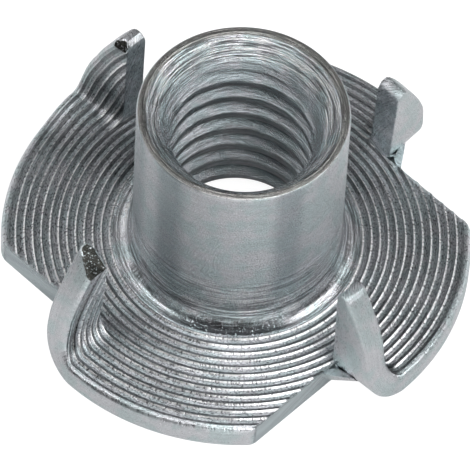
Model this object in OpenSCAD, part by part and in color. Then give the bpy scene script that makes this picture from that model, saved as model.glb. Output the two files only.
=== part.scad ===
// Four-prong tee nut, made from one piece of steel.
//
// A threaded barrel stands on a round flange. The flange's upper face is turned,
// so it carries a set of fine ring grooves. Four shear lines cut the rim, each
// along half a chord, and the strip outside each line is bent up as a prong. Four
// lobes are left of the flange, each with a prong at one end and the straight
// sheared edge of the next prong at the other.
//
// Frame: the flange's underside lies on z = 0 and the barrel's axis is z.

/* [Barrel] */
// Outer diameter of the barrel
barrel_d = 9.8; // [9.4:0.1:11]
// Height from the flange's underside to the mouth
barrel_h = 11; // [8:0.1:16]
// Radius of the rounded outer lip at the mouth
lip_r = 0.35; // [0.1:0.05:0.4]
// Radius of the fillet where the barrel meets the flange
foot_r = 1.1; // [0.4:0.1:1.4]

/* [Threaded bore] */
// Diameter of the bore at the crests of its thread, the minor diameter
bore_d = 6.65; // [5:0.05:7.2]
// Diameter over the roots of the thread, the major diameter
thread_d = 8; // [7.4:0.05:8.2]
// Diameter of the cone at the mouth
mouth_d = 9; // [8.4:0.1:9.1]
// Depth of the mouth's cone, down to where the thread starts
mouth_depth = 0.9; // [0.3:0.1:1.5]
// Diameter of the countersink in the flange's underside
entry_d = 8.8; // [7.4:0.1:9.2]

/* [Flange] */
// Diameter of the flange
flange_d = 22; // [21:0.1:24]
// Thickness of the flange and of its prongs
flange_t = 1.3; // [1:0.05:1.6]
// Radius of the rounded upper edge of the rim
rim_r = 0.3; // [0.1:0.05:0.4]

/* [Ring grooves] */
// Spacing of the turned grooves
groove_pitch = 0.4; // [0.3:0.05:0.8]
// Width of the sharp land that is left between two grooves
groove_land = 0.07; // [0.04:0.01:0.12]
// Depth of the grooves
groove_depth = 0.06; // [0.03:0.01:0.12]

/* [Prongs] */
// Number of prongs
prong_count = 4; // [3:1:4]
// Direction of the middle of the first shear line
first_prong = 48; // [0:1:90]
// Distance of the shear lines from the axis
shear_r = 8.25; // [8:0.05:8.8]
// Inside radius of the bend
bend_r = 0.7; // [0.4:0.1:1]
// Radius of the rounded tip
tip_r = 0.42; // [0.3:0.02:0.6]
// Length of the bevel that thins the tip
bevel_len = 0.7; // [0.3:0.1:1.6]
// Angle of that bevel
bevel_angle = 42; // [20:1:55]
// Radius of the web between a prong's root and the sheared edge
web_r = 0.8; // [0.3:0.1:1.1]
// Radius of the lobe's corner, where its sheared edge meets the rim
corner_r = 1; // [0.4:0.1:1.5]

/* [Hidden] */
$fn = 160;
steel = "#a9afb3";
// A small overlap, so that joined shapes never meet on a mere face
eps = 0.01;
// How far a rounding circle reaches past the lines that it rounds, to cut them clean
lap = 0.003;

flange_r = flange_d / 2;
barrel_r = barrel_d / 2;
bore_r = bore_d / 2;
thread_r = thread_d / 2;

// The bend starts at the middle of the shear line, where the rim and the
// grooves run square to it, and takes up a strip as long as its outer radius.
bend_out = bend_r + flange_t;

// The grooves run from the foot of the barrel to the shoulder of the rim.
groove_from = barrel_r + foot_r;
groove_to = flange_r - rim_r;
groove_count = floor((groove_to - groove_from) / groove_pitch);
// A turning tool with a round nose leaves them: radius of its nose.
groove_w = groove_pitch - groove_land;
nose_r = (groove_w * groove_w / 4 + groove_depth * groove_depth) / (2 * groove_depth);

// Middle of the tip's circle, which touches the shear line and the rim.
tip_v = shear_r + tip_r;
tip_u = sqrt(pow(flange_r - tip_r, 2) - pow(tip_v, 2));

// Middle of the shoulder's circle in the section, which touches the upper face
// and the rim.
rim_z = flange_t - rim_r;
rim_x = sqrt(pow(flange_r - rim_r, 2) - pow(rim_z, 2));

// Middle of the lobe's corner, which touches the shear line and the rim inside.
corner_v = shear_r - corner_r;
corner_u = sqrt(pow(flange_r - corner_r, 2) - pow(corner_v, 2));

// What a corner loses to a circle that touches both of its sides, in the
// directions side_a and side_b from the circle's middle.
module rounded_off_2d(middle, r, side_a, side_b) {
    reach = 1.5 * r;
    corner = (side_a + side_b) / (1 + side_a * side_b);
    translate(middle) difference() {
        polygon([[0, 0], reach * side_a, reach * corner, reach * side_b]);
        circle(r + lap);
    }
}

// ---- The turned body -------------------------------------------------------
// Half of the nut's section, turned round the axis. Circles and squares keep its
// curves true.
module foot_fillet_2d() {
    translate([barrel_r, flange_t])
        difference() {
            translate([-eps, -eps]) square(foot_r + eps);
            translate([foot_r, foot_r]) circle(foot_r);
        }
}

module grooves_2d() {
    for (i = [0 : groove_count - 1])
        translate([groove_to - (i + 0.5) * groove_pitch, flange_t - groove_depth + nose_r])
            circle(nose_r, $fn = 96);
}

// The rim lies on a sphere about the middle of the underside. Over the thickness
// of the flange that is all but upright, and the bent-up prongs share it, so
// that their outer faces run on from the rim.
module flange_2d() {
    rim_mid = [rim_x, rim_z];
    difference() {
        intersection() {
            square([flange_r, flange_t]);
            circle(flange_r);
        }
        rounded_off_2d(rim_mid, rim_r, [0, 1], rim_mid / norm(rim_mid));
    }
}

module section_2d() {
    difference() {
        union() {
            difference() {
                flange_2d();
                grooves_2d();
            }
            square([barrel_r, barrel_h]);
            foot_fillet_2d();
        }
        rounded_off_2d([barrel_r - lip_r, barrel_h - lip_r], lip_r, [1, 0], [0, 1]);
    }
}

module bore() {
    start_z = barrel_h - mouth_depth;
    translate([0, 0, -1]) cylinder(r = bore_r, h = barrel_h + 2);
    // cone at the mouth, then the chamfer on which the thread starts
    translate([0, 0, start_z]) cylinder(r1 = thread_r, r2 = mouth_d / 2, h = mouth_depth);
    translate([0, 0, barrel_h - eps]) cylinder(r = mouth_d / 2, h = 1);
    translate([0, 0, start_z - (thread_r - bore_r)])
        cylinder(r1 = bore_r, r2 = thread_r, h = thread_r - bore_r);
    // countersink in the underside
    cylinder(r1 = entry_d / 2, r2 = bore_r, h = entry_d / 2 - bore_r);
    translate([0, 0, -1]) cylinder(r = entry_d / 2, h = 1 + eps);
}

module turned_body() {
    difference() {
        rotate_extrude() section_2d();
        bore();
    }
}

// ---- Plan outlines round one prong ----------------------------------------
// Here y points outwards along the middle of the shear line, and x runs along
// that line towards the tip.

// The strip outside the shear line, past the bend, as it lay before bending.
module flap_2d() {
    tip_mid = [tip_u, tip_v];
    difference() {
        translate([bend_out, shear_r]) square(flange_r);
        rounded_off_2d(tip_mid, tip_r, [0, -1], tip_mid / norm(tip_mid));
    }
}

// The opening that the strip leaves behind. The corner of the next lobe, where
// the opening ends at the rim, is rounded.
module notch_2d() {
    corner_mid = [corner_u, corner_v];
    translate([0, shear_r]) square(flange_r);
    rounded_off_2d(corner_mid, corner_r, [0, 1], corner_mid / norm(corner_mid));
}

// ---- One prong --------------------------------------------------------------
// Lifts flat sheet past the bend to where the bend turns it, square to the flange.
module turned_up() {
    translate([0, 0, bend_out]) rotate([0, -90, 0])
        translate([-bend_out, 0, -bend_out]) children();
}

// Puts a profile drawn as [distance from the bend's axis, y] round that axis,
// from straight below it towards the tip.
module round_bend(angle = 360) {
    translate([0, 0, bend_out]) rotate([90, 90, 0])
        rotate_extrude(angle = angle) mirror([0, 1]) children();
}

// The turn of sheet between the lobe and the blade. The sphere cuts the shoulder
// of the rim away little by little.
module bend() {
    intersection() {
        round_bend(90) translate([bend_out, 0]) rotate(90) intersection() {
            flange_2d();
            translate([shear_r, 0]) square(flange_r);
        }
        sphere(flange_r);
    }
}

// The blade is a piece of the grooved sheet, bevelled at its tip.
module blade() {
    intersection() {
        turned_up() difference() {
            intersection() {
                rotate_extrude() difference() {
                    translate([shear_r - 1, 0]) square([flange_r, flange_t]);
                    grooves_2d();
                }
                translate([0, 0, -1]) linear_extrude(flange_t + 2) flap_2d();
            }
            translate([tip_u + tip_r - bevel_len, 0, flange_t]) rotate([0, bevel_angle, 0])
                cube([2 * flange_t, flange_r, 2 * flange_t]);
        }
        sphere(flange_r);
    }
}

// What is cut from the flange beside a prong. A web of sheet stays in the corner
// between the sheared edge and the outside of the bend.
module notch() {
    difference() {
        translate([0, 0, -1]) linear_extrude(flange_t + 2) notch_2d();
        round_bend() difference() {
            translate([bend_out - web_r, shear_r - web_r]) square(2 * web_r);
            translate([bend_out + web_r, shear_r + web_r]) circle(web_r + lap);
        }
    }
}

// ---- The nut -----------------------------------------------------------------
module at_prong(i) {
    rotate(i * 360 / prong_count) children();
}

module tee_nut() {
    color(steel) rotate(first_prong - 90) {
        difference() {
            turned_body();
            for (i = [0 : prong_count - 1])
                at_prong(i) notch();
        }
        for (i = [0 : prong_count - 1])
            at_prong(i) {
                bend();
                blade();
            }
    }
}

tee_nut();
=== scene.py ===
"""A zinc-plated tee nut on a pale studio floor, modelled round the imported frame."""

import math
from types import SimpleNamespace

import bmesh
import bpy
from bpy.props import FloatProperty, FloatVectorProperty, IntProperty, PointerProperty
from mathutils import Matrix, Vector
from mathutils.kdtree import KDTree


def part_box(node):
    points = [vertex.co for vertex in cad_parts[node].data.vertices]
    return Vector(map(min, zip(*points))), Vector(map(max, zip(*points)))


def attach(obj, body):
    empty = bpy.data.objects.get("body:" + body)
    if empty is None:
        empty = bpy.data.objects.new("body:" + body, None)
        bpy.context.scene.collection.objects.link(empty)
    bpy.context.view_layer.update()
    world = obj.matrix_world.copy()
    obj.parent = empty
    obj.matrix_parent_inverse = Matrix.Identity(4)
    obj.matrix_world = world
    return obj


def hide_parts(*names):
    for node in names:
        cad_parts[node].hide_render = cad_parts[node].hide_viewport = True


bl_info = {
    "name": "Tee nut",
    "version": (1, 0, 0),
    "blender": (4, 5, 0),
    "location": "3D View > Sidebar > Tee nut",
    "description": "Models a four-prong tee nut with its thread, turned rings and bent prongs",
    "category": "Add Mesh",
}

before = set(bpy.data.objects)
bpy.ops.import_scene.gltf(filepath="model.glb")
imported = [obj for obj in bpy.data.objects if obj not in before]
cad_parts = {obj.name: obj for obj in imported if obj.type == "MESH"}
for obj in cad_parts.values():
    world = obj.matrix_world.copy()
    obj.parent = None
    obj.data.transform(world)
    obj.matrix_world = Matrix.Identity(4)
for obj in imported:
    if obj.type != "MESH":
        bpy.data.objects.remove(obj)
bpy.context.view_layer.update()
CAD_LOW, CAD_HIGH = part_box("tee_nut")

MM = 0.001
FULL_TURN = 2 * math.pi
UP = Vector((0, 0, 1))

# Counts of faces
BEND_STEPS = 30  # cuts across each bend
SWEEP_STEPS = 24  # lines of the bend between a prong's sheared edge and its rim
WEB_STEPS = 24  # faces round each web
THREAD_STEPS = 96  # faces in one turn of the thread

# Small lengths in millimetres
MERGE = 1e-5  # vertices closer than this are one
LAP = 0.004  # how far a prong's strip reaches past its shear line, into the flange
WEB_LAP = 0.02  # how far a web's hollow starts inside the prong and the sheared edge
GROOVE_HOLLOW = 0.006  # how much deeper a groove is in its middle

# Names of what the mesh stores for the material
SHEET = "sheet"  # where each point lay when the flange was whole and flat
TURNED_LINES = "turned_lines"  # which way the lathe's lines run there
TIP_CUT = "tip_cut"  # 1 on the slanted ends of the prongs
SHEARED = "sheared"  # 1 on the faces that the shears left


class NutSizes(bpy.types.PropertyGroup):
    """Sizes of the nut."""

    barrel_height: FloatProperty(
        name="Barrel height", description="From the flange's underside to the mouth",
        default=CAD_HIGH.z, unit="LENGTH",
    )
    barrel_radius: FloatProperty(
        name="Barrel radius", description="Outside",
        default=4.9 * MM, unit="LENGTH",
    )
    lip_radius: FloatProperty(
        name="Lip radius", description="Rounding of the outer edge at the mouth",
        default=0.15 * MM, unit="LENGTH",
    )
    foot_width: FloatProperty(
        name="Foot width",
        description="How far the fillet at the barrel's foot reaches over the flange",
        default=0.78 * MM, unit="LENGTH",
    )
    foot_height: FloatProperty(
        name="Foot height", description="How far that fillet reaches up the barrel",
        default=1.25 * MM, unit="LENGTH",
    )
    bore_radius: FloatProperty(
        name="Bore radius", description="At the crests of the thread",
        default=3.325 * MM, unit="LENGTH",
    )
    thread_radius: FloatProperty(
        name="Thread radius", description="At the roots of the thread",
        default=4.0 * MM, unit="LENGTH",
    )
    thread_pitch: FloatProperty(
        name="Thread pitch", description="Rise of the thread in one turn",
        default=1.25 * MM, unit="LENGTH",
    )
    mouth_radius: FloatProperty(
        name="Mouth radius", description="Widest radius of the cone at the mouth",
        default=4.58 * MM, unit="LENGTH",
    )
    mouth_depth: FloatProperty(
        name="Mouth depth", description="Depth of that cone",
        default=0.65 * MM, unit="LENGTH",
    )
    mouth_taper: FloatProperty(
        name="Mouth taper", description="Length over which the first turns grow to full height",
        default=1.1 * MM, unit="LENGTH",
    )
    entry_radius: FloatProperty(
        name="Entry radius", description="Countersink in the flange's underside",
        default=4.4 * MM, unit="LENGTH",
    )
    flange_radius: FloatProperty(
        name="Flange radius", description="Outer radius of the round flange",
        default=(CAD_HIGH.x - CAD_LOW.x) / 2, unit="LENGTH",
    )
    flange_thickness: FloatProperty(
        name="Flange thickness", description="Thickness of the flange and its prongs",
        default=1.3 * MM, unit="LENGTH",
    )
    rim_radius: FloatProperty(
        name="Rim radius", description="Rounding of the rim's upper edge",
        default=0.3 * MM, unit="LENGTH",
    )
    rim_base_radius: FloatProperty(
        name="Rim base radius", description="Rounding of the rim's lower edge",
        default=0.16 * MM, unit="LENGTH",
    )
    groove_pitch: FloatProperty(
        name="Groove pitch", description="Spacing of the turned grooves",
        default=0.4 * MM, unit="LENGTH",
    )
    groove_flank: FloatProperty(
        name="Groove flank", description="Width of each flank of the ridges between the grooves",
        default=0.09 * MM, unit="LENGTH",
    )
    groove_depth: FloatProperty(
        name="Groove depth", description="Depth of the turned grooves",
        default=0.07 * MM, unit="LENGTH",
    )
    shear_distance: FloatProperty(
        name="Shear distance", description="From the axis to each sheared edge",
        default=8.25 * MM, unit="LENGTH",
    )
    bend_radius: FloatProperty(
        name="Bend radius", description="Inside radius of each prong's bend",
        default=0.7 * MM, unit="LENGTH",
    )
    rim_pulls: FloatVectorProperty(
        name="Rim pulls", description="How far each bend draws the rim in",
        default=(0.25 * MM, -0.18 * MM, 0.25 * MM, 0.25 * MM), size=4, unit="LENGTH",
    )
    rim_lifts: FloatVectorProperty(
        name="Rim lifts", description="How far each bend draws the rim beside it up",
        default=(0, 0.45 * MM, 0, 0), size=4, unit="LENGTH",
    )
    lift_length: FloatProperty(
        name="Lift length", description="Length of rim that rises towards the bend",
        default=2.6 * MM, unit="LENGTH",
    )
    tip_radius: FloatProperty(
        name="Tip radius", description="Rounding of each prong's tip",
        default=0.42 * MM, unit="LENGTH",
    )
    corner_radius: FloatProperty(
        name="Corner radius", description="Rounding of each lobe's corner",
        default=1.0 * MM, unit="LENGTH",
    )
    edge_radius: FloatProperty(
        name="Edge radius", description="Rounding of the sheared edges on the underside",
        default=0.08 * MM, unit="LENGTH",
    )
    tip_slants: FloatVectorProperty(
        name="Tip slants",
        description="Length that each prong's slanted end takes from its inner face",
        default=(0.15 * MM, 0.45 * MM, 0.9 * MM, 0.15 * MM), size=4, unit="LENGTH",
    )
    tip_tilts: FloatVectorProperty(
        name="Tip tilts", description="How far each tip leans out from the barrel",
        default=(-0.06 * MM, 0.24 * MM, -0.4 * MM, -0.25 * MM), size=4, unit="LENGTH",
    )
    tip_rises: FloatVectorProperty(
        name="Tip rises", description="How far each prong was drawn out in length",
        default=(0, 0.1 * MM, 0.2 * MM, 0.2 * MM), size=4, unit="LENGTH",
    )
    rim_sweeps: FloatVectorProperty(
        name="Rim sweeps",
        description="How much taller each bend is at the rim than at the sheared edge",
        default=(0.5 * MM, 1.1 * MM, 0.5 * MM, 1.0 * MM), size=4, unit="LENGTH",
    )
    web_width: FloatProperty(
        name="Web width",
        description="Width of the web at each prong's root along the sheared edge",
        default=0.85 * MM, unit="LENGTH",
    )
    web_length: FloatProperty(
        name="Web length", description="Length of that web along the bend",
        default=1.25 * MM, unit="LENGTH",
    )


class NutDetail(bpy.types.PropertyGroup):
    """Counts and angles of the nut."""

    spokes: IntProperty(name="Spokes", description="Faces round the axis", default=288, min=96)
    prongs: IntProperty(name="Prongs", description="Number of prongs", default=4)
    first_prong: FloatProperty(
        name="First prong", description="Direction of the first sheared edge",
        default=math.radians(48), unit="ROTATION",
    )
    prong_angles: FloatVectorProperty(
        name="Prong angles", description="How far each prong is bent up",
        default=[math.radians(a) for a in (87, 86, 91.5, 92.5)], size=4, unit="ROTATION",
    )
    sharp_angle: FloatProperty(
        name="Sharp angle", description="Faces that meet at more than this are shaded apart",
        default=math.radians(32), unit="ROTATION",
    )
    tip_slopes: FloatVectorProperty(
        name="Tip slopes", description="Slope of each prong's slanted end against its inner face",
        default=[math.radians(a) for a in (42, 42, 55, 42)], size=4, unit="ROTATION",
    )


class NutLook(bpy.types.PropertyGroup):
    """Colours and finish of the zinc plating, and the light and shade painted into them."""

    cool_colour: FloatVectorProperty(
        name="Cool colour", description="Bluish tint of the plating",
        default=(0.57, 0.645, 0.66), subtype="COLOR",
    )
    warm_colour: FloatVectorProperty(
        name="Warm colour", description="Lilac tint of the plating",
        default=(0.675, 0.685, 0.715), subtype="COLOR",
    )
    # painted shade: the dark line beside each ridge; also the foot's painted dark reflection
    painted_dark_colour: FloatVectorProperty(
        name="Groove colour", description="Dark line beside each ridge",
        default=(0.02, 0.022, 0.025), subtype="COLOR",
    )
    lip_colour: FloatVectorProperty(
        name="Lip colour", description="Flat of the lip at the mouth",
        default=(0.27, 0.26, 0.24), subtype="COLOR",
    )
    # painted shade in the bottoms of the grooves, partly their duller plating
    valley_dull_and_shade_colour: FloatVectorProperty(
        name="Valley colour", description="Bottoms of the turned grooves",
        default=(0.27, 0.28, 0.3), subtype="COLOR",
    )
    # painted highlight on the lands between the grooves
    ridge_highlight_colour: FloatVectorProperty(
        name="Ridge colour", description="Lands between the grooves",
        default=(0.92, 0.92, 0.93), subtype="COLOR",
    )
    # painted shade inside the bore, partly its thinner plating
    bore_shade_colour: FloatVectorProperty(
        name="Bore colour", description="Thin plating on the thread",
        default=(0.36, 0.4, 0.43), subtype="COLOR",
    )
    # sheared faces, and the painted dark reflection bands down the barrel
    torn_and_dark_band_colour: FloatVectorProperty(
        name="Torn colour", description="Sheared faces",
        default=(0.3, 0.34, 0.37), subtype="COLOR",
    )
    tip_colour: FloatVectorProperty(
        name="Tip colour", description="Slanted ends of the prongs",
        default=(0.05, 0.05, 0.045), subtype="COLOR",
    )
    turned_spread: FloatProperty(
        name="Turned spread",
        description="How much more the reflections spread across the turned lines",
        default=0.8,
    )
    # how strong the painted shade in the grooves is
    valley_shade_share: FloatProperty(
        name="Valley share", description="How far the grooves darken",
        default=0.4,
    )
    roughness: FloatProperty(
        name="Roughness", description="Mean roughness of the plating",
        default=0.32,
    )
    # how dark the painted reflection bands on the barrel are
    dark_band_share: FloatProperty(
        name="Stain share", description="How far the bands down the barrel darken",
        default=0.55,
    )
    # how strong the painted shade in the bore is
    bore_shade_share: FloatProperty(
        name="Bore share", description="How far the bore darkens",
        default=0.4,
    )
    # direction toward which the rings' painted shade lines and the foot's painted dark band are
    # strongest
    shade_side: FloatProperty(
        name="Worn side", description="Direction in which the turned rings are most worn",
        default=math.radians(-48), unit="ROTATION",
    )
    # directions and widths of the painted dark reflection bands down the barrel
    dark_band_directions: FloatVectorProperty(
        name="Stain directions", description="Where the darker bands run down the barrel",
        default=[math.radians(a) for a in (-123, -88, -19)], size=3, unit="ROTATION",
    )
    dark_band_widths: FloatVectorProperty(
        name="Stain widths", description="How wide each of them is",
        default=[math.radians(a) for a in (18, 14, 12)], size=3, unit="ROTATION",
    )
    cone_contrast: FloatProperty(
        name="Cone contrast", description="How much stronger the streaks are on the cone",
        default=1.3,
    )
    streak_contrast: FloatProperty(
        name="Streak contrast", description="Strength of the turned streaks",
        default=0.45,
    )
    grain_contrast: FloatProperty(
        name="Grain contrast", description="Strength of the fine speckle",
        default=0.3,
    )
    streak_scale: FloatProperty(
        name="Streak scale", description="How short the turned streaks are",
        default=2.5,
    )
    bump: FloatProperty(
        name="Bump", description="Strength of the fine streaks and grain",
        default=1.0,
    )


class StageSettings(bpy.types.PropertyGroup):
    """Camera, floor and lights."""

    camera_position: FloatVectorProperty(
        name="Camera position", description="Where the camera stands",
        default=(0, -172.5 * MM, 250.6 * MM), unit="LENGTH",
    )
    camera_aim: FloatVectorProperty(
        name="Camera aim", description="Point in the middle of the view",
        default=(-0.062 * MM, 0.544 * MM, 0.377 * MM), unit="LENGTH",
    )
    camera_roll: FloatProperty(
        name="Camera roll", description="Turn about the line of sight",
        default=math.radians(3.484), unit="ROTATION",
    )
    camera_lens: FloatProperty(
        name="Camera lens", description="Focal length in millimetres",
        default=496.95,
    )
    floor_size: FloatProperty(
        name="Floor size", description="Side of the square floor",
        default=1.6, unit="LENGTH",
    )
    floor_glow: FloatProperty(
        name="Floor glow", description="How bright the floor is seen",
        default=0.96,
    )
    floor_shine: FloatProperty(
        name="Floor shine", description="How bright the metal reflects it",
        default=0.5,
    )
    world_strength: FloatProperty(
        name="World strength", description="Light from all round",
        default=0.07,
    )


# ---- Helpers -----------------------------------------------------------------
def in_millimetres(sizes):
    """The lengths of a property group by name, in millimetres."""
    names = sizes.__annotations__
    values = {name: getattr(sizes, name) for name in names}
    return SimpleNamespace(**{
        name: value / MM if isinstance(value, float) else [part / MM for part in value]
        for name, value in values.items()
    })


def clamped(value):
    """The value, kept between 0 and 1."""
    return min(max(value, 0), 1)


def eased(share):
    """A share between 0 and 1 that starts and ends gently."""
    return share * share * (3 - 2 * share)


def arc(centre, radius, start, end, steps):
    """Points along an arc in the section, from one angle in degrees to another."""
    turns = [math.radians(start + (end - start) * i / steps) for i in range(steps + 1)]
    x, z = centre
    return [(x + radius * math.cos(a), z + radius * math.sin(a)) for a in turns]


def joined(*runs):
    """Runs of section points in one list, without the doubled points where runs meet."""
    points = []
    for run in runs:
        for point in run:
            if not points or math.dist(point, points[-1]) > MERGE:
                points.append(point)
    return points


def turned_by(i, count):
    """The turn that takes the first of some evenly spaced copies to another one."""
    return Matrix.Rotation(i * FULL_TURN / count, 3, "Z")


def mesh_object(name, bm):
    """A new object that holds the bmesh, which is freed."""
    mesh = bpy.data.meshes.new(name)
    bm.to_mesh(mesh)
    bm.free()
    piece = bpy.data.objects.new(name, mesh)
    bpy.context.scene.collection.objects.link(piece)
    return piece


def slice_across(bm, point, normal, drop=False):
    """Cuts a mesh along a plane, and drops what lies outside if asked."""
    bmesh.ops.bisect_plane(
        bm,
        geom=[*bm.verts, *bm.edges, *bm.faces],
        dist=MERGE,
        plane_co=point,
        plane_no=normal,
        clear_outer=drop,
    )


def cut_off(bm, point, normal):
    """Cuts a closed mesh with a plane, drops what lies outside and closes it."""
    slice_across(bm, point, normal, drop=True)
    rim = [e for e in bm.edges if e.is_boundary]
    if rim:
        bmesh.ops.triangle_fill(bm, edges=rim, normal=normal, use_beauty=True)


def solid_from(outline, bottom, top):
    """An upright prism over an outline in the plan."""
    bm = bmesh.new()
    verts = [bm.verts.new((x, y, bottom)) for x, y in outline]
    bmesh.ops.contextual_create(bm, geom=verts)
    lifted = bmesh.ops.extrude_face_region(bm, geom=bm.faces[:])["geom"]
    raised = [v for v in lifted if isinstance(v, bmesh.types.BMVert)]
    bmesh.ops.translate(bm, verts=raised, vec=(0, 0, top - bottom))
    bmesh.ops.recalc_face_normals(bm, faces=bm.faces)
    return bm


def turned_outward(bm):
    """Turns the faces of a closed mesh outwards, also where its bends mislead the operator."""
    bmesh.ops.recalc_face_normals(bm, faces=bm.faces)
    if bm.calc_volume(signed=True) < 0:
        bmesh.ops.reverse_faces(bm, faces=bm.faces)
    return bm


def swept(section, axis, centre, angle, steps, rise=0.0):
    """A closed bar: a section of points swept round an axis, level or rising like a thread."""
    bm = bmesh.new()
    face = bmesh.ops.contextual_create(bm, geom=[bm.verts.new(point) for point in section])
    geom = [*bm.verts, *bm.edges, *face["faces"]]
    step = Vector(axis) * rise / steps
    bmesh.ops.spin(bm, geom=geom, cent=centre, axis=axis, dvec=step, angle=angle, steps=steps)
    return turned_outward(bm)


def repeated(bm, count):
    """Adds turned copies of the mesh, evenly spaced round the axis."""
    first = [*bm.verts, *bm.edges, *bm.faces]
    for i in range(1, count):
        copy = bmesh.ops.duplicate(bm, geom=first)["geom"]
        verts = [v for v in copy if isinstance(v, bmesh.types.BMVert)]
        bmesh.ops.rotate(bm, verts=verts, cent=(0, 0, 0), matrix=turned_by(i, count))
    return bm


def added_up(meshes):
    """Several bmeshes in one, side by side."""
    whole = bmesh.new()
    for bm in meshes:
        mesh = bpy.data.meshes.new("part")
        bm.to_mesh(mesh)
        bm.free()
        whole.from_mesh(mesh)
        bpy.data.meshes.remove(mesh)
    return whole


def combined(bm, other, operation):
    """The union, difference or common part of two closed bmeshes."""
    base, tool = mesh_object("base", bm), mesh_object("tool", other)
    join = base.modifiers.new("Join", "BOOLEAN")
    join.operation, join.solver, join.object = operation, "MANIFOLD", tool
    result = bmesh.new()
    result.from_object(base, bpy.context.evaluated_depsgraph_get())
    for piece in (base, tool):
        mesh = piece.data
        bpy.data.objects.remove(piece)
        bpy.data.meshes.remove(mesh)
    return result


def drop_specks(bm):
    """Deletes the loose, flat specks that joining leaves, and keeps the one large shell."""
    waiting, shells = set(bm.verts), []
    while waiting:
        shell, ahead = set(), [waiting.pop()]
        while ahead:
            vert = ahead.pop()
            shell.add(vert)
            near = {e.other_vert(vert) for e in vert.link_edges} & waiting
            waiting -= near
            ahead += near
        shells.append(shell)
    largest = max(shells, key=len)
    specks = [v for v in bm.verts if v not in largest]
    bmesh.ops.delete(bm, geom=specks, context="VERTS")


# ---- The turned body ---------------------------------------------------------
def groove_points(s):
    """The turned grooves, from the barrel outwards: nearly flat, with sharp ridges between."""
    inner, outer = s.barrel_radius + s.foot_width, s.flange_radius - s.rim_radius
    count = int((outer - inner) / s.groove_pitch)
    top, floor = s.flange_thickness, s.flange_thickness - s.groove_depth
    points = [(inner, top)]
    for i in range(count):
        start = outer - (count - i) * s.groove_pitch
        end = start + s.groove_pitch
        points += [(start, top), (start + s.groove_flank, floor)]
        points += [((start + end) / 2, floor - GROOVE_HOLLOW), (end - s.groove_flank, floor)]
    return joined(points, [(outer, top)])


def sheet_points(s):
    """The flange's section outside the barrel: along the top, round the rim and under it."""
    shoulder = (s.flange_radius - s.rim_radius, s.flange_thickness - s.rim_radius)
    base = (s.flange_radius - s.rim_base_radius, s.rim_base_radius)
    return joined(
        groove_points(s),
        arc(shoulder, s.rim_radius, 90, 0, 6),
        arc(base, s.rim_base_radius, 0, -90, 4),
    )


def nut_section(s):
    """Half of the nut's section: up the bore, over the mouth, down and out, and back below."""
    mouth_z = s.barrel_height - s.mouth_depth
    cone_foot = s.thread_radius - 0.04
    lip = (s.barrel_radius - s.lip_radius, s.barrel_height - s.lip_radius)
    foot = [
        (
            s.barrel_radius + s.foot_width * (1 + x),
            s.flange_thickness + s.foot_height * (1 + z),
        )
        for x, z in arc((0, 0), 1, 180, 270, 14)
    ]
    return joined(
        [(s.entry_radius, 0), (s.bore_radius, s.entry_radius - s.bore_radius)],
        [(s.bore_radius, mouth_z - s.mouth_taper), (cone_foot, mouth_z)],
        [(s.mouth_radius, s.barrel_height)],
        arc(lip, s.lip_radius, 90, 0, 6),
        foot,
        sheet_points(s),
    )


def turned_body(s, detail):
    """The whole nut as it comes off the lathe, with a plain bore."""
    bm = bmesh.new()
    ring = [bm.verts.new((r, 0, z)) for r, z in nut_section(s)]
    edges = [bm.edges.new(pair) for pair in zip(ring, ring[1:] + ring[:1])]
    bmesh.ops.spin(
        bm,
        geom=ring + edges,
        cent=(0, 0, 0),
        axis=UP,
        angle=FULL_TURN,
        steps=detail.spokes,
        use_merge=True,
    )
    bmesh.ops.remove_doubles(bm, verts=bm.verts, dist=MERGE)
    bmesh.ops.recalc_face_normals(bm, faces=bm.faces)
    return bm


def thread(s):
    """The helical groove of the thread, as a closed bar that runs out at both ends."""
    # half the groove's width at each depth: rounded crests, slanted flanks, rounded root
    half = [(-0.125, 0.53), (-0.01, 0.46), (0.025, 0.4), (0.08, 0.345), (0.14, 0.3)]
    half += [(0.56, 0.09), (0.61, 0.04), (0.635, 0)]
    half = [(s.bore_radius + depth, width) for depth, width in half]
    section = half + [(r, -width) for r, width in reversed(half[:-1])]
    below, spare = 1.2, 2
    turns = math.ceil((s.barrel_height + spare) / s.thread_pitch)
    points = [(r, 0, z - below) for r, z in section]
    rise = turns * s.thread_pitch
    return swept(points, UP, (0, 0, 0), FULL_TURN * turns, THREAD_STEPS * turns, rise)


# ---- Prongs ------------------------------------------------------------------
# Each prong is modelled where y points outwards along the middle of its shear line
# and x runs along that line towards its tip.
def tip_centre(s):
    """Middle of the tip's rounding in the plan, which touches the shear line and the rim."""
    v = s.shear_distance + s.tip_radius
    return math.sqrt((s.flange_radius - s.tip_radius) ** 2 - v**2), v


def share_of_width(s, v):
    """How far across the strip a point lies, from 0 at the shear line to 1 at the rim."""
    return clamped((v - s.shear_distance) / (s.flange_radius - s.shear_distance))


def whole_strip(s, detail):
    """The part of the turned flange from which one prong is trimmed."""
    spare = 0.3
    upper = [p for p in sheet_points(s) if p[0] > s.shear_distance - spare]
    tip_u, _ = tip_centre(s)
    step = FULL_TURN / detail.spokes
    steps = math.ceil(math.atan2(tip_u + s.tip_radius, s.shear_distance) / step) + 2
    # it starts a spoke early, so that it overlaps the flange that it's joined to
    side, ahead = -math.sin(step), math.cos(step)
    section = [(r * side, r * ahead, z) for r, z in [(upper[0][0], 0), *upper]]
    return swept(section, UP, (0, 0, 0), -step * steps, steps)


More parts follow.
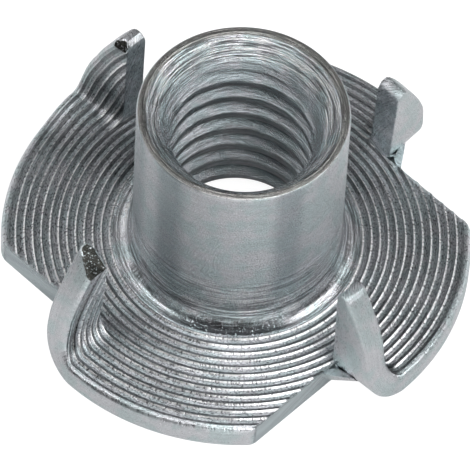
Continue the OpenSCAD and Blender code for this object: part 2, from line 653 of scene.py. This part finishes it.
def trimming_shape(s, form):
    """What the strip is trimmed to: straight along the shear line, with a round tip, a
    slanted end and slightly rounded edges underneath."""
    line, top = s.shear_distance, s.flange_thickness
    tip_u, tip_v = tip_centre(s)
    tip = arc((tip_u, tip_v), s.tip_radius, -90, math.degrees(math.atan2(tip_v, tip_u)), 12)
    tip[0] = (tip_u, line)
    far = tip[-1][0] * 1.5, tip[-1][1] * 1.5
    outline = [(-1, line - LAP), (tip_u - 0.1, line - LAP), *tip, far, (-1, far[1])]
    shape = solid_from(outline, -LAP / 2, top + LAP / 2)
    end = Vector((tip_u + s.tip_radius - form.slant, 0, top))
    cut_off(shape, end, Vector((math.sin(form.slope), 0, math.cos(form.slope))))
    bmesh.ops.dissolve_limit(shape, angle_limit=0.01, verts=shape.verts, edges=shape.edges)
    bmesh.ops.recalc_face_normals(shape, faces=shape.faces)
    sharp = 0.5
    rounded = [
        e
        for e in shape.edges
        if e.calc_face_angle(0) > sharp
        and (
            max(v.co.z for v in e.verts) < 0
            or min(v.co.x for v in e.verts) > tip_u - form.slant
        )
    ]
    bmesh.ops.bevel(
        shape,
        geom=rounded,
        offset=s.edge_radius,
        segments=3,
        profile=0.5,
        affect="EDGES",
        material=-1,
    )
    return shape


def bend_line(s, angle, taller):
    """The inside of the bend in its upright plane, as points and headings along the strip."""
    shares = [k / BEND_STEPS for k in range(BEND_STEPS + 1)]
    headings = [angle * (share + eased(share)) / 2 for share in shares]
    means = [(a + b) / 2 for a, b in zip(headings, headings[1:])]
    ahead = s.bend_radius * math.sin(angle) / sum(math.cos(a) for a in means)
    up = (s.bend_radius * (1 - math.cos(angle)) + taller) / sum(math.sin(a) for a in means)
    places = [Vector((0, s.flange_thickness))]
    for a in means:
        places.append(places[-1] + Vector((ahead * math.cos(a), up * math.sin(a))))
    return [
        (place, math.atan2(up * math.sin(a), ahead * math.cos(a)))
        for place, a in zip(places, headings)
    ]


def bent(s, form, lines, point):
    """Where a point of the flat strip goes when the strip is bent up, and the way ahead."""
    u, v, w = point
    if u <= 0:
        return Vector(point), Vector((1, 0, 0))
    share = share_of_width(s, v)
    outer = s.bend_radius + s.flange_thickness + form.sweep * share
    line = lines[round(share * SWEEP_STEPS)]
    at = min(u / outer, 1) * BEND_STEPS
    k = min(int(at), BEND_STEPS - 1)
    (start, first), (end, last) = line[k], line[k + 1]
    inside = start.lerp(end, at - k)
    heading = first + (last - first) * (at - k)
    ahead = Vector((math.cos(heading), math.sin(heading)))
    below = Vector((ahead.y, -ahead.x))
    # the grooves flatten towards the tip
    if w > s.flange_thickness - s.groove_depth - 0.01:
        flatter = 0.45 * clamped((u - 0.8 * outer) / outer)
        w += (s.flange_thickness - w) * flatter
    x, z = inside + max(u - outer, 0) * ahead + (s.flange_thickness - w) * below
    # the bend draws the rim in, and the tip was drawn out and leans to one side
    drawn = form.pull * share * math.sin(math.pi * min(u / (1.5 * outer), 1)) ** 1.4
    along = (u / (tip_centre(s)[0] + s.tip_radius)) ** 1.5
    place = Vector((x, v - drawn + form.tilt * along, z + form.rise * along))
    return place, Vector((ahead.x, 0, ahead.y))


def prong(s, detail, i):
    """One prong, bent up, with where each of its points lay in the flat sheet and which way
    the turned lines run there."""
    form = SimpleNamespace(
        angle=detail.prong_angles[i],
        slope=detail.tip_slopes[i],
        slant=s.tip_slants[i],
        tilt=s.tip_tilts[i],
        rise=s.tip_rises[i],
        sweep=s.rim_sweeps[i],
        pull=s.rim_pulls[i],
    )
    bm = combined(whole_strip(s, detail), trimming_shape(s, form), "INTERSECT")
    reach = s.bend_radius + s.flange_thickness + form.sweep
    for k in range(1, BEND_STEPS + 1):
        slice_across(bm, (reach * k / BEND_STEPS, 0, 0), (1, 0, 0))
    lines = [
        bend_line(s, form.angle, form.sweep * k / SWEEP_STEPS) for k in range(SWEEP_STEPS + 1)
    ]
    turn = turned_by(i, detail.prongs)
    places = []
    for vert in bm.verts:
        flat = vert.co.copy()
        place, ahead = bent(s, form, lines, flat)
        along = Vector((0, flat.x, 0)) - ahead * flat.y
        vert.co = turn @ place
        places.append((vert.co.copy(), turn @ flat, turn @ along.normalized()))
    return turned_outward(bm), places


def web(s):
    """The web of sheet between a prong's root and the sheared edge beside it."""
    outer = s.bend_radius + s.flange_thickness
    line = s.shear_distance
    # it reaches into the prong and the flange, and stays just inside both faces
    root, skin = 0.25, 0.01
    steps, hollowness = 10, 0.75
    hollow = []
    for k in range(steps + 1):
        a = math.pi / 2 * k / steps
        r = outer - WEB_LAP + s.web_width * (1 - math.sin(a) ** hollowness)
        hollow.append((r, line - WEB_LAP + s.web_length * (1 - math.cos(a) ** hollowness)))
    section = [(outer - root, line - root), (hollow[0][0], line - root), *hollow]
    section.append((outer - root, hollow[-1][1]))
    points = [(0, y, outer - r) for r, y in section]
    bm = swept(points, (0, 1, 0), (0, 0, outer), -math.pi / 2, WEB_STEPS)
    cut_off(bm, (0, 0, skin), -UP)
    cut_off(bm, (0, 0, s.flange_thickness - skin), UP)
    return turned_outward(bm)


def notch(s):
    """What is cut from the flange beside a prong, with the next lobe's corner rounded."""
    line, rim, r = s.shear_distance, s.flange_radius, s.corner_radius
    corner_u = math.sqrt((rim - r) ** 2 - (line - r) ** 2)
    turn = math.degrees(math.atan2(line - r, corner_u))
    rounding = arc((corner_u, line - r), r, 90, turn, 10)
    # from there it runs on past the rim
    beyond, above = 3, 0.2
    far = rounding[-1][0] + beyond, rounding[-1][1] + beyond * math.tan(math.radians(turn))
    outline = [(0, line), *rounding, far, (far[0], 2 * line), (0, 2 * line)]
    return solid_from(outline, -1, s.flange_thickness + above)


# ---- The nut -------------------------------------------------------------------
def on_prong(s, local, slack):
    """Whether a place is on the prong along whose shear line it is given. Above the flange
    a prong leans in over that line."""
    lean = 0.6 if local.z > s.flange_thickness + 0.05 else slack
    return local.x > MERGE and local.y > s.shear_distance - lean


def mark_points(s, detail, body, places):
    """Stores where each point lay when the flange was still whole and flat, and which way the
    turned lines run there."""
    tree = KDTree(len(places))
    for i, (place, _, _) in enumerate(places):
        tree.insert(place, i)
    tree.balance()
    flat = body.verts.layers.float_vector.new(SHEET)
    lines = body.verts.layers.float_vector.new(TURNED_LINES)
    turns = [turned_by(i, detail.prongs) for i in range(detail.prongs)]
    for vert in body.verts:
        vert[flat], vert[lines] = vert.co, UP.cross(vert.co).normalized()
        for turn in turns:
            local = turn.transposed() @ vert.co
            if on_prong(s, local, 0.01):
                _, i, _ = tree.find(vert.co)
                vert[flat], vert[lines] = places[i][1], places[i][2]


def mark_faces(s, detail, body):
    """Stores which faces of the prongs are slanted tips, and which the shears left."""
    tips = body.faces.layers.float.new(TIP_CUT)
    cuts = body.faces.layers.float.new(SHEARED)
    body.normal_update()
    turns = [turned_by(i, detail.prongs) for i in range(detail.prongs)]
    least_height, least_facing, cut_facing, cut_depth = 4, 0.93, 0.9, 0.5
    for face in body.faces:
        middle = face.calc_center_median()
        for turn, angle, slope in zip(turns, detail.prong_angles, detail.tip_slopes):
            local, facing = turn.transposed() @ middle, turn.transposed() @ face.normal
            if not on_prong(s, local, 0.02):
                continue
            slanted = Vector((math.sin(slope), 0, math.cos(slope)))
            slanted.rotate(Matrix.Rotation(-angle, 3, "Y"))
            face[tips] = float(local.z > least_height and slanted.dot(facing) > least_facing)
            near = local.y < s.shear_distance + cut_depth
            face[cuts] = float(near and abs(facing.y) > cut_facing)


def lift_rims(s, detail, body):
    """Draws the rim up where a bend has pulled at it: the lobe's rim rises towards the prong."""
    flat = body.verts.layers.float_vector[SHEET]
    for i, lift in enumerate(s.rim_lifts):
        turn = turned_by(-i, detail.prongs)
        for vert in body.verts:
            u, v, _ = turn @ vert[flat]
            ramp = eased(clamped(1 + u / s.lift_length))
            vert.co.z += lift * share_of_width(s, v) ** 1.5 * ramp


def nut(s, detail):
    """The whole nut in millimetres, as one closed mesh that holds its marks."""
    count = detail.prongs
    body = turned_body(s, detail)
    body = combined(body, added_up([repeated(notch(s), count), thread(s)]), "DIFFERENCE")
    prongs = [prong(s, detail, i) for i in range(count)]
    places = [place for _, known in prongs for place in known]
    body = combined(body, added_up([bm for bm, _ in prongs]), "UNION")
    body = combined(body, repeated(web(s), count), "UNION")
    drop_specks(body)
    mark_points(s, detail, body, places)
    mark_faces(s, detail, body)
    lift_rims(s, detail, body)
    return body


# ---- Materials -----------------------------------------------------------------
def node(tree, kind, inputs=None, **settings):
    """Adds a node, sets its properties, and sets or links its inputs."""
    added = tree.nodes.new(kind)
    for name, value in settings.items():
        setattr(added, name, value)
    for key, value in (inputs or {}).items():
        if isinstance(value, bpy.types.NodeSocket):
            tree.links.new(value, added.inputs[key])
        else:
            added.inputs[key].default_value = value
    return added


def maths(tree, operation, *values):
    """A maths node's result."""
    return node(tree, "ShaderNodeMath", dict(enumerate(values)), operation=operation).outputs[0]


def product(tree, first, *others):
    """Several values multiplied together."""
    for value in others:
        first = maths(tree, "MULTIPLY", first, value)
    return first


def scaled(tree, value, factor, offset):
    """A value times a factor, plus an offset."""
    return maths(tree, "MULTIPLY_ADD", value, factor, offset)


def weaker(tree, mask, share):
    """1 outside a mask, and less by a share inside it."""
    return scaled(tree, mask, -share, 1.0)


def band(tree, value, low, high):
    """0 below one value and 1 above another, with a smooth step between, or the other way
    round where the first is the higher."""
    inputs = {"Value": value, "From Min": low, "From Max": high}
    smooth = node(tree, "ShaderNodeMapRange", inputs, interpolation_type="SMOOTHSTEP")
    return smooth.outputs["Result"]


def blend(tree, share, first, second):
    """A mix of two colours."""
    mix = node(tree, "ShaderNodeMix", {0: share}, data_type="RGBA")
    for key, value in ((6, first), (7, second)):
        if isinstance(value, bpy.types.NodeSocket):
            tree.links.new(value, mix.inputs[key])
        else:
            mix.inputs[key].default_value = (*value, 1)
    return mix.outputs[2]


def noise(tree, place, scale, detail=2.0, roughness=0.5):
    """Noise between 0 and 1 round 0.5."""
    inputs = {"Vector": place, "Scale": scale, "Detail": detail, "Roughness": roughness}
    return node(tree, "ShaderNodeTexNoise", inputs).outputs["Fac"]


def stored(tree, name, output="Fac"):
    """What the mesh stores under a name."""
    return node(tree, "ShaderNodeAttribute", attribute_name=name).outputs[output]


def along_lines(tree, across, angle, fineness, shortness):
    """A place for noise that runs along the turned lines: its first part counts across them,
    and the two others go round the axis."""
    inputs = {0: product(tree, across, fineness)}
    inputs[1] = product(tree, maths(tree, "COSINE", angle), shortness)
    inputs[2] = product(tree, maths(tree, "SINE", angle), shortness)
    return node(tree, "ShaderNodeCombineXYZ", inputs).outputs[0]


def finish_ends(s):
    """What the ends of the finishes are measured from, in millimetres: radii and heights."""
    return SimpleNamespace(
        rings=s.flange_radius - s.rim_radius,
        foot=s.barrel_radius + s.foot_width,
        barrel=s.barrel_radius,
        thread=s.thread_radius,
        top=s.flange_thickness,
        cone=s.barrel_height - s.mouth_depth,
        mouth=s.barrel_height,
        pitch=s.groove_pitch,
    )


def turned_rings(tree, at, ends):
    """A mask for the turned rings on the flange's upper face, also where it is bent up. The
    bends have drawn them out and made them fainter."""
    upper = band(tree, at.height, ends.top - 0.14, ends.top - 0.1)
    upper = product(tree, upper, band(tree, at.height, ends.top + 0.1, ends.top + 0.05))
    rings = product(tree, band(tree, at.radius, ends.rings + 0.02, ends.rings - 0.04), upper)
    rings = product(tree, rings, band(tree, at.radius, ends.foot + 0.12, ends.foot + 0.22))
    place = node(tree, "ShaderNodeTexCoord").outputs["Object"]
    risen = product(tree, node(tree, "ShaderNodeSeparateXYZ", {0: place}).outputs[2], 1 / MM)
    bent_up = product(tree, band(tree, risen, ends.top + 0.5, ends.top + 1.9), rings)
    return product(tree, rings, weaker(tree, bent_up, 0.3))


def surface(tree, look, ends):
    """What the finishes go by: where a point lay in the flat sheet, and the marks there."""
    flat = stored(tree, SHEET, "Vector")
    x, y, height = node(tree, "ShaderNodeSeparateXYZ", {0: flat}).outputs
    plan = node(tree, "ShaderNodeCombineXYZ", {0: x, 1: y}).outputs[0]
    radius = node(tree, "ShaderNodeVectorMath", {0: plan}, operation="LENGTH").outputs["Value"]
    angle = maths(tree, "ARCTAN2", y, x)
    across = maths(tree, "ADD", radius, height)
    turned = along_lines(tree, across, angle, 16.0, look.streak_scale)
    at = SimpleNamespace(flat=flat, radius=radius, angle=angle, height=height)
    at.streaks = noise(tree, turned, 1.0, 3.0, 0.6)
    # patches that break up the rings' painted highlights and painted shade lines
    at.wear = noise(tree, turned, 0.35, 3.0, 0.7)
    at.grain = noise(tree, along_lines(tree, across, angle, 20.0, 75.0), 1.0, 3.0, 0.7)
    at.speckle = band(tree, at.grain, 0.36, 0.64)
    at.sparks = band(tree, noise(tree, flat, 12.0, 2.0, 0.6), 0.58, 0.68)
    # facing the side where the painted shade is strongest
    at.front = maths(tree, "COSINE", maths(tree, "SUBTRACT", angle, look.shade_side))
    at.inside = band(tree, radius, ends.barrel - 0.04, ends.barrel - 0.1)
    at.rings = turned_rings(tree, at, ends)
    return at


def tinted_plating(tree, look, at):
    """The plating's own colour, which changes slowly from bluish to lilac."""
    tints = noise(tree, at.flat, 0.9, 2.0)
    return blend(tree, band(tree, tints, 0.4, 0.6), look.cool_colour, look.warm_colour)


def with_rings(tree, look, at, ends, base):
    """The turned rings, with painted light: a painted highlight on the ridges, painted shade in
    the grooves, partly their duller plating, and a painted shade line beside each outer ridge,
    fainter to both sides of the shade side."""
    # how far a point lies across its groove: 0 at the outer ridge and 1 at the inner one
    phase = maths(tree, "DIVIDE", maths(tree, "SUBTRACT", ends.rings, at.radius), ends.pitch)
    groove = maths(tree, "FRACT", phase)
    # painted highlight on the ridges
    bright = product(tree, at.rings, band(tree, groove, 0.78, 0.85))
    bright = product(tree, bright, band(tree, at.wear, 0.2, 0.42))
    sides = band(tree, maths(tree, "ABSOLUTE", at.front), 0.5, 0.3)
    # painted shade line beside each outer ridge
    dark = product(tree, at.rings, band(tree, groove, 0.46, 0.36))
    dark = product(tree, dark, scaled(tree, at.wear, 0.5, 0.5), scaled(tree, sides, -0.75, 0.95))
    # painted shade in the grooves, partly their duller plating
    base = blend(tree, product(tree, at.rings, look.valley_shade_share), base, look.valley_dull_and_shade_colour)
    base = blend(tree, bright, base, look.ridge_highlight_colour)
    return blend(tree, dark, base, look.painted_dark_colour)


def with_bore_shade(tree, look, at, ends, base):
    """Painted shade inside the bore, partly its thinner plating."""
    bore = band(tree, at.radius, ends.thread + 0.2, ends.thread + 0.05)
    bore = product(tree, bore, band(tree, at.height, ends.cone - 0.05, ends.cone - 0.75))
    return blend(tree, product(tree, bore, look.bore_shade_share), base, look.bore_shade_colour)


def with_painted_reflection_bands(tree, look, at, ends, base):
    """Painted dark reflection bands down the barrel."""
    wall = band(tree, at.radius, ends.barrel - 0.1, ends.barrel - 0.05)
    wall = product(tree, wall, band(tree, at.height, ends.top + 1.3, ends.top + 2.1))
    for direction, half in zip(look.dark_band_directions, look.dark_band_widths):
        turn = maths(tree, "SUBTRACT", at.angle, direction)
        # painted dark reflection band where the barrel faces this direction
        off = maths(tree, "ARCCOSINE", maths(tree, "COSINE", turn))
        reflected_band = product(tree, band(tree, off, half, half * 0.3), wall)
        base = blend(tree, product(tree, reflected_band, look.dark_band_share), base, look.torn_and_dark_band_colour)
    return base


def with_lip(tree, look, at, ends, base):
    """The narrow flat of the lip, which is duller."""
    lip = band(tree, at.height, ends.mouth - 0.14, ends.mouth - 0.08)
    lip = product(tree, lip, band(tree, at.radius, ends.barrel - 0.03, ends.barrel - 0.09))
    return blend(tree, product(tree, lip, 0.8), base, look.lip_colour)


def with_painted_foot_band(tree, look, at, ends, base):
    """A painted dark reflection band: a dark, speckled crescent on the fillet at the barrel's
    foot, strongest on the shade side.
    """
    foot = band(tree, at.radius, ends.barrel + 0.36, ends.barrel + 0.46)
    foot = product(tree, foot, band(tree, at.radius, ends.foot + 0.16, ends.foot + 0.04))
    foot = product(tree, foot, band(tree, at.height, ends.top + 0.7, ends.top + 0.5))
    foot = product(tree, foot, band(tree, at.height, ends.top - 0.1, ends.top - 0.05))
    foot = product(tree, foot, scaled(tree, band(tree, at.front, 0.75, 0.97), 0.85, 0.1))
    foot = product(tree, foot, weaker(tree, at.sparks, 0.8))
    # painted dark reflection on the foot's fillet
    return blend(tree, foot, base, look.painted_dark_colour)


def with_torn_faces(tree, look, at, ends, base):
    """The faces that the shears left, torn and darker in patches."""
    patches = band(tree, noise(tree, at.flat, 3.0, 4.0, 0.65), 0.35, 0.65)
    torn = product(tree, stored(tree, SHEARED), scaled(tree, patches, 0.6, 0.25))
    return blend(tree, torn, base, look.torn_and_dark_band_colour)


def with_tool_marks(tree, look, at, ends, base):
    """Fine speckle everywhere, and streaks where the tool left its marks: strongest on the
    mouth's cone, and faint on the smooth barrel, the rim and the lower edges."""
    plain = band(tree, at.radius, ends.barrel - 0.2, ends.barrel - 0.1)
    plain = product(tree, plain, band(tree, at.height, ends.top + 2.7, ends.top + 3.3))
    rim = band(tree, at.radius, ends.rings + 0.1, ends.rings + 0.2)
    rim = maths(tree, "MAXIMUM", rim, band(tree, at.height, 0.4, 0.2))
    marks = product(tree, weaker(tree, plain, 0.85), weaker(tree, rim, 0.8))
    cone = band(tree, at.radius, ends.barrel - 0.15, ends.barrel - 0.3)
    cone = product(tree, cone, band(tree, at.height, ends.cone - 0.75, ends.cone - 0.05))
    neck = band(tree, at.radius, ends.foot + 0.22, ends.foot + 0.12)
    neck = product(tree, neck, band(tree, at.radius, ends.barrel - 0.04, ends.barrel))
    strength = maths(tree, "MAXIMUM", cone, product(tree, neck, 0.5))
    strength = scaled(tree, strength, look.cone_contrast, look.streak_contrast)
    streaks = maths(tree, "SUBTRACT", band(tree, at.streaks, 0.35, 0.65), 0.5)
    streaks = product(tree, streaks, marks, strength)
    spots = maths(tree, "SUBTRACT", at.speckle, 0.5)
    spots = product(tree, spots, scaled(tree, at.rings, look.grain_contrast, look.grain_contrast))
    spots = product(tree, spots, weaker(tree, at.inside, 0.85), marks)
    level = maths(tree, "ADD", maths(tree, "ADD", streaks, spots), 1.0)
    inputs = {0: base, 1: level}
    return node(tree, "ShaderNodeVectorMath", inputs, operation="MULTIPLY").outputs[0]


def with_tips(tree, look, at, ends, base):
    """The slanted ends of the prongs: dark, with sparks where the metal broke."""
    dark = product(tree, stored(tree, TIP_CUT), weaker(tree, at.sparks, 1.0))
    return blend(tree, dark, base, look.tip_colour)


def roughness(tree, look, at, ends):
    """Rougher in the speckle, and smoother on the foot's fillet and inside the barrel."""
    smooth = band(tree, at.radius, ends.foot + 0.22, ends.foot + 0.02)
    smooth = product(tree, smooth, band(tree, at.radius, ends.barrel - 0.02, ends.barrel + 0.05))
    smooth = maths(tree, "ADD", smooth, at.inside)
    rough = scaled(tree, at.speckle, 0.08, look.roughness - 0.06)
    return maths(tree, "MULTIPLY_ADD", smooth, -0.12, rough)


def steel(s, look):
    """Zinc-plated steel: bright, faintly tinted, with turned rings, fine streaks and painted
    light and shade.
    """
    material = bpy.data.materials.new("zinc_plated_steel")
    material.use_nodes = True
    tree = material.node_tree
    shader = tree.nodes["Principled BSDF"]
    ends = finish_ends(s)
    at = surface(tree, look, ends)
    base = tinted_plating(tree, look, at)
    for finish in FINISHES:
        base = finish(tree, look, at, ends, base)
    tree.links.new(base, shader.inputs["Base Color"])
    tree.links.new(roughness(tree, look, at, ends), shader.inputs["Roughness"])
    # the reflections spread across the lathe's lines
    shader.inputs["Metallic"].default_value = 1.0
    shader.inputs["Anisotropic"].default_value = look.turned_spread
    shader.inputs["Anisotropic Rotation"].default_value = 0.25
    tree.links.new(stored(tree, TURNED_LINES, "Vector"), shader.inputs["Tangent"])
    relief = maths(tree, "MULTIPLY_ADD", at.grain, 0.8, at.streaks)
    inputs = {"Height": relief, "Strength": look.bump, "Distance": 0.04 * MM}
    bump = node(tree, "ShaderNodeBump", inputs)
    tree.links.new(bump.outputs["Normal"], shader.inputs["Normal"])
    return material


# several of these paint light and shade into the colour: the rings' highlights and shade, the
# bore's shade, and the dark reflections on the barrel and the foot
FINISHES = (with_rings, with_bore_shade, with_painted_reflection_bands, with_lip, with_painted_foot_band, with_torn_faces,
            with_tool_marks, with_tips)


def pale_floor(stage):
    """A pale floor, lit evenly where it's seen, that keeps the nut's shadow. Close to the nut the
    metal sees it dimmer: a painted shadow under the nut, seen only in reflections."""
    material = bpy.data.materials.new("pale_floor")
    material.use_nodes = True
    tree = material.node_tree
    tree.nodes.clear()
    path = node(tree, "ShaderNodeLightPath").outputs
    mirrored = maths(tree, "MAXIMUM", path["Is Glossy Ray"], path["Is Transmission Ray"])
    place = node(tree, "ShaderNodeTexCoord").outputs["Object"]
    away = node(tree, "ShaderNodeVectorMath", {0: place}, operation="LENGTH").outputs["Value"]
    # painted shadow under the nut, seen only in the metal's reflections
    outside_shadow = scaled(tree, band(tree, away, 4 * MM, 11 * MM), 0.8, 0.2)
    shine = product(tree, mirrored, outside_shadow, stage.floor_shine)
    glow = maths(tree, "MULTIPLY_ADD", path["Is Camera Ray"], stage.floor_glow, shine)
    matt = node(tree, "ShaderNodeBsdfDiffuse", {"Color": (0.25, 0.25, 0.25, 1)})
    light = node(tree, "ShaderNodeEmission", {"Strength": glow})
    both = node(tree, "ShaderNodeAddShader", {0: matt.outputs[0], 1: light.outputs[0]})
    node(tree, "ShaderNodeOutputMaterial", {"Surface": both.outputs[0]})
    return material


# ---- Stage ---------------------------------------------------------------------
def aimed(position, aim, roll=0.0):
    """Where a camera or lamp stands when it looks from one point at another."""
    forward = (Vector(aim) - Vector(position)).normalized()
    turn = forward.to_track_quat("-Z", "Y").to_matrix() @ Matrix.Rotation(roll, 3, "Z")
    return Matrix.Translation(position) @ turn.to_4x4()


def soft_light(name, position, size, power):
    """A soft light, as wide and as high as given, that faces the nut."""
    lamp = bpy.data.lights.new(name, "AREA")
    lamp.shape, lamp.energy = "RECTANGLE", power
    lamp.size, lamp.size_y = size
    holder = bpy.data.objects.new(name, lamp)
    holder.matrix_world = aimed(position, (0, 0, 3 * MM))
    bpy.context.scene.collection.objects.link(holder)


def dim_room(strength):
    """A dim, faintly bluish world."""
    world = bpy.data.worlds.new("studio")
    world.use_nodes = True
    background = world.node_tree.nodes["Background"]
    background.inputs["Strength"].default_value = strength
    background.inputs["Color"].default_value = (0.95, 0.97, 1.0, 1)
    bpy.context.scene.world = world


def main_camera(stage):
    """The camera, far off and with a long lens."""
    lens = bpy.data.cameras.new("camera")
    lens.lens, lens.sensor_width = stage.camera_lens, 36
    lens.clip_start, lens.clip_end = 0.01, 10
    camera = bpy.data.objects.new("camera", lens)
    camera.matrix_world = aimed(stage.camera_position, stage.camera_aim, stage.camera_roll)
    bpy.context.scene.collection.objects.link(camera)
    bpy.context.scene.camera = camera


# ---- Add-on --------------------------------------------------------------------
class TeeNutAdd(bpy.types.Operator):
    """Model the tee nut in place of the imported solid"""

    bl_idname = "mesh.tee_nut_add"
    bl_label = "Tee nut"

    def execute(self, context):
        s = in_millimetres(context.scene.nut_sizes)
        detail, look = context.scene.nut_detail, context.scene.nut_look
        bm = nut(s, detail)
        turn = Matrix.Rotation(detail.first_prong - math.pi / 2, 4, "Z")
        bmesh.ops.transform(bm, verts=bm.verts, matrix=Matrix.Scale(MM, 4) @ turn)
        for face in bm.faces:
            face.smooth = True
        for edge in bm.edges:
            edge.smooth = edge.calc_face_angle(0) < detail.sharp_angle
        piece = mesh_object("tee_nut_steel", bm)
        piece.data.materials.append(steel(s, look))
        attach(piece, "root")
        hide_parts("tee_nut")
        return {"FINISHED"}


class TeeNutStage(bpy.types.Operator):
    """Set up the floor, the soft lights and the camera"""

    bl_idname = "scene.tee_nut_stage"
    bl_label = "Stage"

    def execute(self, context):
        stage = context.scene.nut_stage
        bm = bmesh.new()
        bmesh.ops.create_grid(bm, x_segments=1, y_segments=1, size=stage.floor_size / 2)
        floor = mesh_object("floor", bm)
        floor.data.materials.append(pale_floor(stage))
        soft_light("top_front", (0.26, -0.2, 0.52), (0.5, 0.36), 3.2)
        soft_light("top_left", (-0.28, 0.0, 0.5), (0.26, 0.26), 0.9)
        soft_light("far_left", (-0.35, 0.7, 0.25), (0.3, 0.16), 0.4)
        soft_light("left_low", (-0.6, 0.3, 0.1), (0.4, 0.16), 0.4)
        soft_light("right_low", (0.6, 0.3, 0.1), (0.4, 0.16), 0.4)
        soft_light("front_low", (0.15, -0.7, 0.12), (0.7, 0.2), 1.0)
        dim_room(stage.world_strength)
        main_camera(stage)
        context.scene.view_settings.view_transform = "Standard"
        return {"FINISHED"}


class TeeNutPanel(bpy.types.Panel):
    """Buttons for the nut and the stage"""

    bl_idname = "VIEW3D_PT_tee_nut"
    bl_label = "Tee nut"
    bl_space_type = "VIEW_3D"
    bl_region_type = "UI"
    bl_category = "Tee nut"

    def draw(self, context):
        for operator in OPERATORS:
            self.layout.operator(operator.bl_idname)


OPERATORS = (TeeNutAdd, TeeNutStage)
GROUPS = {
    "nut_sizes": NutSizes,
    "nut_detail": NutDetail,
    "nut_look": NutLook,
    "nut_stage": StageSettings,
}


def register():
    """Registers the classes and gives each scene its settings."""
    for cls in (*GROUPS.values(), *OPERATORS, TeeNutPanel):
        bpy.utils.register_class(cls)
    for name, group in GROUPS.items():
        setattr(bpy.types.Scene, name, PointerProperty(type=group))


def unregister():
    """Takes the settings and the classes away again."""
    for name in GROUPS:
        delattr(bpy.types.Scene, name)
    for cls in (TeeNutPanel, *OPERATORS, *GROUPS.values()):
        bpy.utils.unregister_class(cls)


def main():
    """Registers the add-on, models the nut and sets up the stage."""
    register()
    bpy.ops.mesh.tee_nut_add()
    bpy.ops.scene.tee_nut_stage()


if __name__ == "__main__":
    main()
